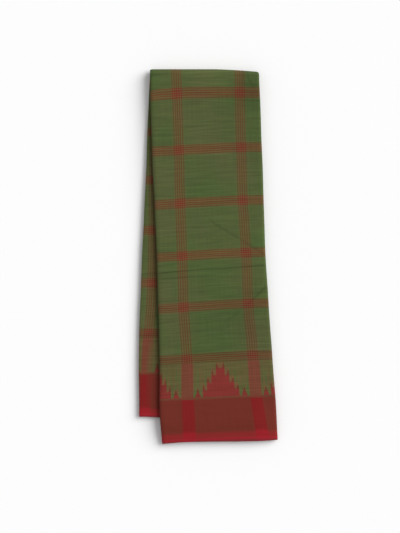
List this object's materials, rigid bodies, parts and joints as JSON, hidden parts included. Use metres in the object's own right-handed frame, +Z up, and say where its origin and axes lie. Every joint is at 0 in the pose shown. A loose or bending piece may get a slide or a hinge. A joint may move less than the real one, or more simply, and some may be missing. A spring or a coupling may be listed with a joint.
{
  "type": "folded saree",
  "caption": "Cotton saree with window checks and a toothed temple border, folded into a narrow strip, doubled over at its top fold and laid flat, with the upper half fanned off the lower one.",
  "frame": {"origin": "on the table, in the middle of the folded saree's outline", "axes": "+Y along the strip towards the top fold, +X across it towards the spine edge, +Z up from the table"},
  "size_m": [0.2216, 0.598, 0.0176],
  "materials": {
    "checked_cloth": "matte plain-woven cotton, olive green with brick red checks",
    "folded_layers": "matte plain-woven cotton, the stacked folds and selvedges of the same cloth"
  },
  "bodies": {
    "root": {"front_stretch": "checked_cloth", "back_stretch": "checked_cloth", "inner_layers": "folded_layers"}
  },
  "joints": []
}
